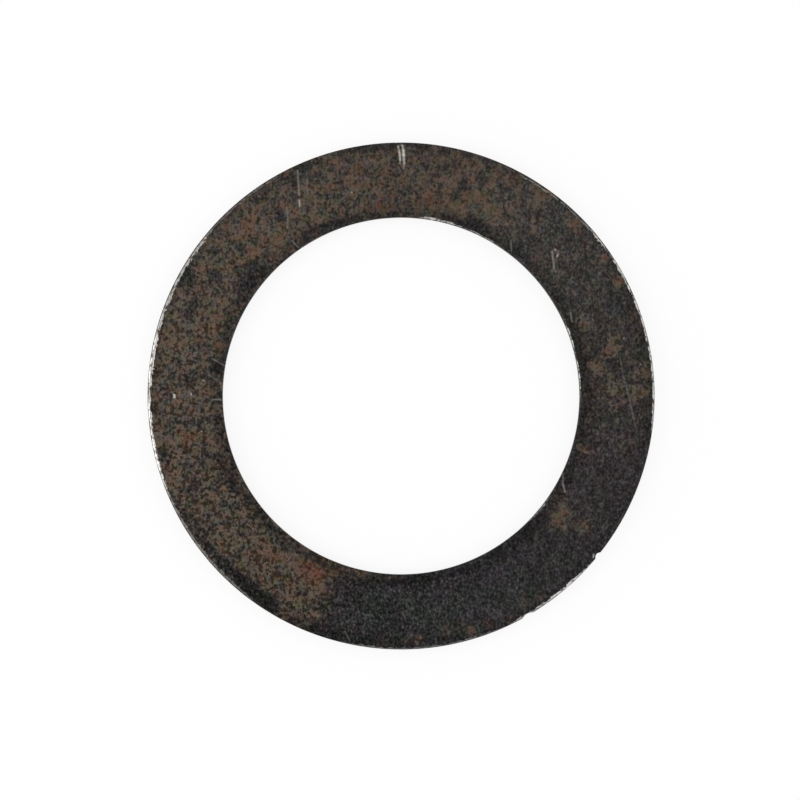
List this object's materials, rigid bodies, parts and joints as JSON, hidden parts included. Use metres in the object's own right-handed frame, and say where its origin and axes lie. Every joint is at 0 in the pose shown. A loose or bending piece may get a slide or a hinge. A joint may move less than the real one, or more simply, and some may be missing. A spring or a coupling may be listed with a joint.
{
  "type": "shim washer",
  "caption": "Flat blanked spring-steel shim ring with a large bore, rolled top edges and an oxidised, rust-mottled face.",
  "frame": {"origin": "centre of the bore, on the underside that the ring lies on", "axes": "+Z along the bore's axis, up through the face with the rolled edges; +X to the right in the picture"},
  "size_m": [0.0399, 0.0398, 0.001],
  "materials": {
    "oxidised_steel": "dark heat-treatment oxide mottled with brown rust, worn to bare steel along the edges"
  },
  "bodies": {
    "root": {"shim_ring": "oxidised_steel"}
  },
  "joints": []
}
